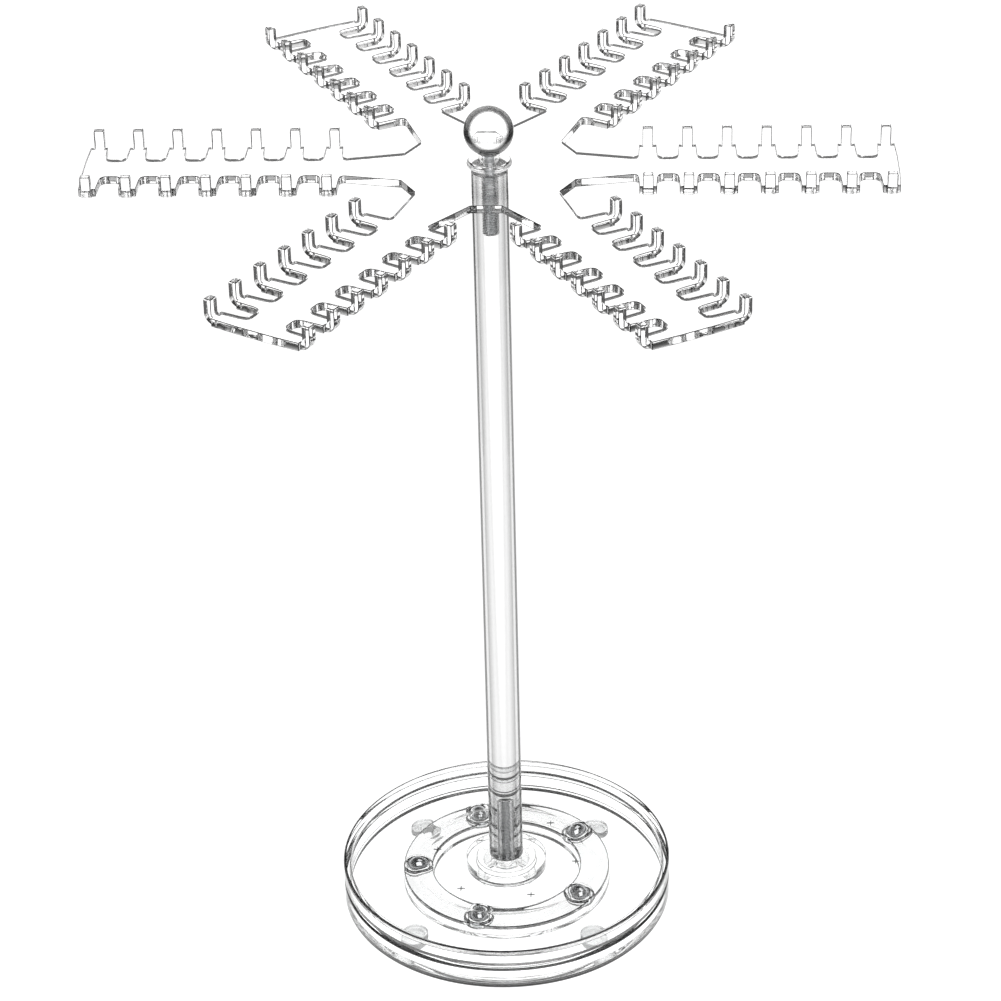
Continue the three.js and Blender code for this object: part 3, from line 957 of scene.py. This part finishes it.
def clear_plastic(name, tint_and_painted_shade, roughest, scale, fine, depth, stretch=EVEN, painted_top_light=0):
    """Clear plastic, with shade painted darker towards its edges and, where asked, a painted lighter top.
    Lamps and bounced light pass straight through it.
    """
    material, tree, shader, output, vector = new_material(name)
    shader.inputs["IOR"].default_value = ACRYLIC_IOR
    shader.inputs["Transmission Weight"].default_value = 1
    # painted shade: the colour darkens as the surface turns from the eye, for dark edges
    edge = add(tree, "ShaderNodeLayerWeight", Blend=0.5)
    ramp = add(tree, "ShaderNodeValToRGB", Fac=edge.outputs["Facing"])
    stops = ramp.color_ramp.elements
    while len(stops) < len(tint_and_painted_shade):
        stops.new(1)
    for stop, (position, shade) in zip(stops, tint_and_painted_shade):
        stop.position = position
        stop.color = (shade, shade, shade, 1)
    colour = ramp.outputs["Color"]
    # painted light: faces that look up are painted lighter, towards white
    if painted_top_light:
        upwards = split_axes(tree, tree.nodes.new("ShaderNodeNewGeometry").outputs["Normal"])["Z"]
        lit = reckon(tree, "MULTIPLY", reckon(tree, "MULTIPLY", upwards, upwards), painted_top_light)
        colour = blend(tree, lit, colour, WHITE, "RGBA")
    feed(tree, shader.inputs["Base Color"], colour)
    add_marks(tree, shader, vector, 0, roughest, MARKS_SCALE)
    add_ripple(tree, shader, vector, stretch, scale, fine, depth)
    path = tree.nodes.new("ShaderNodeLightPath").outputs
    lamp_light = reckon(tree, "MAXIMUM", path["Is Shadow Ray"], path["Is Diffuse Ray"])
    through = add(tree, "ShaderNodeBsdfTransparent", Color=LIGHT_THROUGH)
    show_blend(tree, output, lamp_light, shader, through)
    return material


def steel(name, colour, least, most, scale, depth):
    """Steel whose shade drifts a little over the surface."""
    material, tree, shader, output, vector = new_material(name)
    shader.inputs["Metallic"].default_value = 1
    drift = add(tree, "ShaderNodeTexNoise", Vector=vector, Scale=scale, Detail=3)
    dull = (*(STEEL_DULL * channel for channel in colour), 1)
    feed(tree, shader.inputs["Base Color"], blend(tree, drift.outputs["Fac"], dull, (*colour, 1), "RGBA"))
    add_marks(tree, shader, vector, least, most, scale)
    add_ripple(tree, shader, vector, EVEN, scale, STEEL_FINE, depth)
    return material


# how far a surface turns from the eye, and the shade painted into its colour there: darker sheet edges,
# almost black edges and rims, bands on the rod and a dark ring on the knob's ball
SHEET_PAINTED_SHADE = ((0, 1), (0.68, 0.98), (0.88, 0.1))
EDGE_PAINTED_SHADE = ((0, 0.008), (1, 0.003))
ROD_PAINTED_BANDS = (
    (0, 1), (0.025, 1), (0.05, 0.85), (0.14, 0.82), (0.19, 0.42), (0.235, 0.46), (0.31, 0.28),
    (0.405, 0.15), (0.47, 0.65), (0.54, 0.85), (0.58, 0.3), (0.62, 0.012), (1, 0.002),
)
RIM_PAINTED_SHADE = ((0, 0.004), (1, 0.002))
# the pads' own grey, with a little painted shade towards their edges
PAD_GREY_AND_PAINTED_SHADE = ((0, 0.85), (1, 0.75))
KNOB_PAINTED_RING = ((0, 1), (0.27, 1), (0.34, 0.15), (0.4, 0.001), (1, 0.0003))

# the sheets and the rod carry the painted shade of their tables: darker edges, and bands on the rod
MOULDED_ACRYLIC = clear_plastic(
    "moulded_acrylic", SHEET_PAINTED_SHADE, roughest=0.02, scale=30, fine=0.1, depth=0.01 * MM)
DRAWN_ACRYLIC = clear_plastic(
    "drawn_acrylic_rod", ROD_PAINTED_BANDS, roughest=0.03, scale=160, fine=0.3, depth=0.01 * MM,
    stretch=(1, 1, 0.02))
CUT_ACRYLIC = clear_plastic(
    "cut_acrylic_sheet", SHEET_PAINTED_SHADE, roughest=0.02, scale=90, fine=0.4, depth=0.01 * MM,
    stretch=(1, 1, 0.1))
# the knob's ball: polished, with a painted dark ring round its rim and a painted lighter top
POLISHED_KNOB_PAINTED_RING = clear_plastic(
    "polished_knob_painted_ring_and_top", KNOB_PAINTED_RING, roughest=0.02, scale=60, fine=0.2, depth=0.01 * MM,
    painted_top_light=0.03)
# almost black plastic that paints dark lines on edges and rims, where there is only shade
EDGE_PAINTED_DARK_ACRYLIC = clear_plastic(
    "edge_painted_dark_acrylic", EDGE_PAINTED_SHADE, roughest=0.2, scale=200, fine=0.5, depth=0.02 * MM)
RIM_PAINTED_DARK_ACRYLIC = clear_plastic(
    "rim_painted_dark_acrylic", RIM_PAINTED_SHADE, roughest=0.2, scale=200, fine=0.5, depth=0.02 * MM)
BEARING_STEEL = steel(
    "bearing_steel_polish", (0.56, 0.57, 0.58), least=0.03, most=0.09, scale=400, depth=0.001 * MM)
ZINC_STEEL = steel(
    "zinc_steel_thread", (0.7, 0.71, 0.72), least=0.2, most=0.4, scale=500, depth=0.01 * MM)
GREY_SILICONE = clear_plastic(
    "grey_silicone_pad", PAD_GREY_AND_PAINTED_SHADE, roughest=0.6, scale=900, fine=0.5, depth=0.03 * MM)


def place(piece, body, slot, material, *nodes, edges=None):
    """Gives a finished piece its materials and its body, and lets it stand for its CAD nodes."""
    if piece.data.materials:
        piece.data.materials[SURFACE_SLOT] = material
        piece.data.materials[EDGE_SLOT] = edges or material
    else:
        piece.data.materials.append(material)
    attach(piece, body)
    if nodes:
        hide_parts(*nodes)


# Assembly

# the edge materials paint dark shade on rounded edges and chosen faces; the knob's paints a dark ring and a
# lighter top
place(make_base_dish(), "base", "clear_acrylic", MOULDED_ACRYLIC, "base_dish", edges=RIM_PAINTED_DARK_ACRYLIC)
for pad, node in zip(make_feet(), FEET):
    place(pad, "base", "grey_rubber", GREY_SILICONE, node)

place(make_ball_cage(), "cage", "clear_acrylic", MOULDED_ACRYLIC, "ball_cage", edges=RIM_PAINTED_DARK_ACRYLIC)
for i, ball in enumerate(make_balls()):
    place(ball, f"ball_{i + 1}", "bearing_steel", BEARING_STEEL, BALLS[i])

cap = make_turntable_top()
place(cap, "turntable", "clear_acrylic", MOULDED_ACRYLIC, "turntable_top", edges=RIM_PAINTED_DARK_ACRYLIC)
# the crosses are wholly in the almost black edge plastic: painted dark marks
place(make_moulded_crosses(), "turntable", "clear_acrylic", EDGE_PAINTED_DARK_ACRYLIC)
place(make_pivot_bush(), "turntable", "clear_acrylic", MOULDED_ACRYLIC, "pivot_bush")
place(make_pivot_washer(), "turntable", "clear_acrylic", MOULDED_ACRYLIC, "pivot_washer")
screw = thread("threaded_pivot_screw", SCREW_HIGH.x, SCREW_LOW.z, SCREW_HIGH.z)
place(screw, "turntable", "zinc_steel", ZINC_STEEL, "pivot_screw")
place(make_pole(), "turntable", "clear_acrylic", DRAWN_ACRYLIC, "pole", edges=EDGE_PAINTED_DARK_ACRYLIC)
stud = thread("threaded_finial_stud", STUD_HIGH.x, STUD_LOW.z, STUD_HIGH.z)
place(stud, "turntable", "zinc_steel", ZINC_STEEL, "finial_stud")
place(make_hook_star(), "turntable", "clear_acrylic", CUT_ACRYLIC, "hook_star", edges=EDGE_PAINTED_DARK_ACRYLIC)
knob = make_finial_knob()
place(knob, "turntable", "clear_acrylic", MOULDED_ACRYLIC, "finial_knob", edges=POLISHED_KNOB_PAINTED_RING)


# Floor, world and lamps

FLOOR_SIZE = 5
FLOOR_DROP = 0.05 * MM
FLOOR_COLOUR = (0.86, 0.86, 0.86, 1)
FLOOR_ROUGHNESS = 0.12
FLOOR_GLOW = 0.5
FAR_GLOW = 0.82
NEAR_FLOOR = 0.4
FAR_FLOOR = 1.6
GLASS_GLOW = 0.36
PALE_SIDE = 0.38
PALE_FRONT = -0.55
DARK_FLOOR = (0.15, 0.15, 0.15, 1)


def make_floor():
    """A white table top that glows a little under the shadow. Reflections see its outer parts dark."""
    deselect_all()
    bpy.ops.mesh.primitive_plane_add(size=FLOOR_SIZE, location=(0, 0, -FLOOR_DROP))
    floor = named("floor")
    settle(floor)
    material, tree, shader, output, vector = new_material("white_floor")
    shader.inputs["Base Color"].default_value = FLOOR_COLOUR
    shader.inputs["Roughness"].default_value = FLOOR_ROUGHNESS
    shader.inputs["Emission Color"].default_value = WHITE
    path = tree.nodes.new("ShaderNodeLightPath").outputs

    # glow, with more of it far away and through the plastic
    distance = tree.nodes.new("ShaderNodeVectorMath")
    distance.operation = "LENGTH"
    feed(tree, distance.inputs[0], vector)
    far = fade(tree, distance.outputs["Value"], NEAR_FLOOR, FAR_FLOOR)
    even = reckon(tree, "MULTIPLY_ADD", far, FAR_GLOW - FLOOR_GLOW, FLOOR_GLOW)
    seen = reckon(tree, "MAXIMUM", path["Is Camera Ray"], path["Is Glossy Ray"])
    seen = reckon(tree, "MAXIMUM", seen, path["Is Transmission Ray"])
    glow = reckon(tree, "MULTIPLY", seen, even)
    glow = reckon(tree, "MULTIPLY_ADD", path["Is Transmission Ray"], GLASS_GLOW, glow)
    feed(tree, shader.inputs["Emission Strength"], glow)

    # dark sides and front in reflections
    axes = split_axes(tree, vector)
    aside = reckon(tree, "GREATER_THAN", reckon(tree, "ABSOLUTE", axes["X"]), PALE_SIDE)
    in_front = reckon(tree, "LESS_THAN", axes["Y"], PALE_FRONT)
    reflected = reckon(tree, "MINIMUM", path["Glossy Depth"], 1)
    away = reckon(tree, "MULTIPLY", reflected, reckon(tree, "MAXIMUM", aside, in_front))
    dark = add(tree, "ShaderNodeBsdfDiffuse", Color=DARK_FLOOR)
    show_blend(tree, output, away, shader, dark)
    floor.data.materials.append(material)


AMBIENT = 0.4
PALE_WALLS = 0.95
DARK_ROOM = 0.04

# where the pale panel at the back and the pale walls all round start and are full, along an axis
PANEL_SIDE = (0.5, 0.25)
PANEL_NEAR = (0.1, 0.3)
PANEL_TOP = (0.5, 0.34)
WALL_TOP = (0.4, 0.3)


def make_world():
    """White to the camera and straight through plastic. Reflections see pale walls under a dark ceiling."""
    world = bpy.data.worlds.new("studio")
    bpy.context.scene.world = world
    world.use_nodes = True
    tree = world.node_tree
    tree.nodes.clear()
    output = tree.nodes.new("ShaderNodeOutputWorld")
    background = tree.nodes.new("ShaderNodeBackground")
    feed(tree, output.inputs["Surface"], background.outputs["Background"])
    axes = split_axes(tree, tree.nodes.new("ShaderNodeTexCoord").outputs["Generated"])
    path = tree.nodes.new("ShaderNodeLightPath").outputs
    panel = fade(tree, reckon(tree, "ABSOLUTE", axes["X"]), *PANEL_SIDE)
    panel = reckon(tree, "MULTIPLY", panel, fade(tree, axes["Y"], *PANEL_NEAR))
    panel = reckon(tree, "MULTIPLY", panel, fade(tree, axes["Z"], *PANEL_TOP))
    pale = reckon(tree, "MAXIMUM", panel, fade(tree, axes["Z"], *WALL_TOP))
    room = blend(tree, pale, DARK_ROOM, PALE_WALLS)
    reflected = reckon(tree, "MINIMUM", path["Glossy Depth"], 1)
    seen = blend(tree, reflected, PALE_WALLS, room)
    shiny = reckon(tree, "MAXIMUM", path["Is Glossy Ray"], path["Is Transmission Ray"])
    light = blend(tree, path["Is Camera Ray"], blend(tree, shiny, AMBIENT, seen), 1)
    feed(tree, background.inputs["Color"], light)


LAMP_AIM = Vector((0, 0, 0.1))


def add_softbox(name, place_at, size, power):
    lamp = bpy.data.lights.new(name, "AREA")
    lamp.shape = "SQUARE"
    lamp.size = size
    lamp.energy = power
    softbox = bpy.data.objects.new(name, lamp)
    bpy.context.scene.collection.objects.link(softbox)
    softbox.location = place_at
    softbox.rotation_euler = (LAMP_AIM - Vector(place_at)).to_track_quat("-Z", "Y").to_euler()
    softbox.visible_camera = False


# Camera, from the hook tips, the pole and the base's rim in the photograph

CAMERA_PLACE = Vector((54.36, -1202.04, 900.23)) * MM
CAMERA_PITCH = math.radians(30.486)
CAMERA_YAW = math.radians(2.535)
CAMERA_ROLL = math.radians(-1.386)
SENSOR = 36
FOCAL_PIXELS = 3522.8
PHOTO_PIXELS = 1001


def make_camera():
    camera_data = bpy.data.cameras.new("photo_camera")
    camera = bpy.data.objects.new("photo_camera", camera_data)
    bpy.context.scene.collection.objects.link(camera)
    camera_data.sensor_width = SENSOR
    camera_data.lens = FOCAL_PIXELS * SENSOR / PHOTO_PIXELS
    forward = Vector((
        -math.sin(CAMERA_YAW) * math.cos(CAMERA_PITCH),
        math.cos(CAMERA_YAW) * math.cos(CAMERA_PITCH),
        -math.sin(CAMERA_PITCH),
    ))
    level = Vector((math.cos(CAMERA_YAW), math.sin(CAMERA_YAW), 0))
    upright = level.cross(forward)
    across = math.cos(CAMERA_ROLL) * level + math.sin(CAMERA_ROLL) * upright
    up = math.cos(CAMERA_ROLL) * upright - math.sin(CAMERA_ROLL) * level
    turned = Matrix((across, up, -forward)).transposed().to_4x4()
    camera.matrix_world = Matrix.Translation(CAMERA_PLACE) @ turned
    bpy.context.scene.camera = camera


GLASS_BOUNCES = 32

make_floor()
make_world()
add_softbox("key_softbox", place_at=(0.3, -0.8, 1.4), size=1.3, power=12)
add_softbox("top_softbox", place_at=(0.3, 0.5, 1.7), size=0.9, power=4)
make_camera()

scene = bpy.context.scene
scene.view_settings.view_transform = "Standard"
scene.cycles.max_bounces = GLASS_BOUNCES
scene.cycles.transmission_bounces = GLASS_BOUNCES
scene.cycles.glossy_bounces = GLASS_BOUNCES
scene.cycles.transparent_max_bounces = GLASS_BOUNCES
